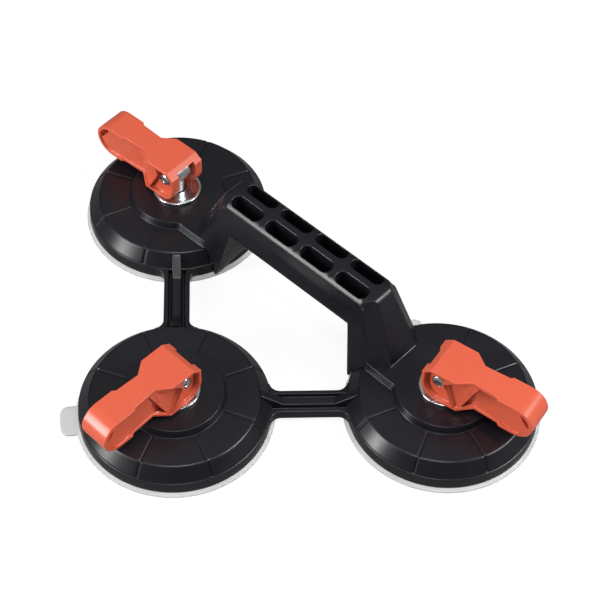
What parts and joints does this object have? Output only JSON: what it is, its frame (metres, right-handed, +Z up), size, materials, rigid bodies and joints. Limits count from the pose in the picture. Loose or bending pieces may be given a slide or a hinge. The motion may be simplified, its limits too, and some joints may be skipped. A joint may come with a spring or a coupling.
{
  "type": "floor tile suction lifter",
  "caption": "Suction lifter for floor tiles: round pads under a triangular moulding, with a slotted bridge handle and folding cam levers that draw the pads up.",
  "frame": {"origin": "bottom centre of the bounding box, in the plane of the sealing rims", "axes": "+X along the handle towards the right head, +Y from the front head towards the handle, +Z up"},
  "size_m": [0.3631, 0.2431, 0.068],
  "materials": {
    "black_plastic": "satin",
    "orange_plastic": "satin",
    "pale_rubber": "translucent grey",
    "zinc_steel": "zinc plated",
    "spring_steel": "plain"
  },
  "bodies": {
    "frame": {"frame_moulding": "black_plastic"},
    "front_swivel": {"front_pad": "pale_rubber", "front_washer": "zinc_steel", "front_spring": "spring_steel"},
    "front_stud": {"front_stud": "zinc_steel", "front_anchor_plate": "zinc_steel"},
    "front_lever": {"front_lever": "orange_plastic", "front_pivot_rivet": "zinc_steel"},
    "right_swivel": {"right_pad": "pale_rubber", "right_washer": "zinc_steel", "right_spring": "spring_steel"},
    "right_stud": {"right_stud": "zinc_steel", "right_anchor_plate": "zinc_steel"},
    "right_lever": {"right_lever": "orange_plastic", "right_pivot_rivet": "zinc_steel"},
    "left_swivel": {"left_pad": "pale_rubber", "left_washer": "zinc_steel", "left_spring": "spring_steel"},
    "left_stud": {"left_stud": "zinc_steel", "left_anchor_plate": "zinc_steel"},
    "left_lever": {"left_lever": "orange_plastic", "left_pivot_rivet": "zinc_steel"}
  },
  "joints": [
    {"name": "front_swivel_turn", "type": "hinge", "parent": "frame", "child": "front_swivel", "pos_m": [0, -0.0574, 0], "axis": [0, 0, 1], "continuous": true},
    {"name": "front_stud_slide", "type": "slide", "parent": "front_swivel", "child": "front_stud", "axis": [0, 0, -1], "range_m": [0, 0.00485], "deforming": ["front_pad", "front_spring"]},
    {"name": "front_lever_hinge", "type": "hinge", "parent": "front_stud", "child": "front_lever", "pos_m": [0, -0.0574, 0.04195], "axis": [-0.9997, 0.0227, 0], "range_deg": [0, 90]},
    {"name": "right_swivel_turn", "type": "hinge", "parent": "frame", "child": "right_swivel", "pos_m": [0.117, 0.0596, 0], "axis": [0, 0, 1], "range_deg": [-134, 115]},
    {"name": "right_stud_slide", "type": "slide", "parent": "right_swivel", "child": "right_stud", "axis": [0, 0, -1], "range_m": [0, 0.00485], "deforming": ["right_pad", "right_spring"]},
    {"name": "right_lever_hinge", "type": "hinge", "parent": "right_stud", "child": "right_lever", "pos_m": [0.117, 0.0596, 0.04195], "axis": [0.1616, -0.9869, 0], "range_deg": [0, 90]},
    {"name": "left_swivel_turn", "type": "hinge", "parent": "frame", "child": "left_swivel", "pos_m": [-0.117, 0.0596, 0], "axis": [0, 0, 1], "range_deg": [-127, 123]},
    {"name": "left_stud_slide", "type": "slide", "parent": "left_swivel", "child": "left_stud", "axis": [0, 0, -1], "range_m": [0, 0.00485], "deforming": ["left_pad", "left_spring"]},
    {"name": "left_lever_hinge", "type": "hinge", "parent": "left_stud", "child": "left_lever", "pos_m": [-0.117, 0.0596, 0.04195], "axis": [-0.0349, 0.9994, 0], "range_deg": [0, 90]}
  ],
  "couplings": [
    {"joint": "front_lever_hinge", "follows": "front_stud_slide", "rad_per_m": 323.88},
    {"joint": "right_lever_hinge", "follows": "right_stud_slide", "rad_per_m": 323.88},
    {"joint": "left_lever_hinge", "follows": "left_stud_slide", "rad_per_m": 323.88}
  ]
}
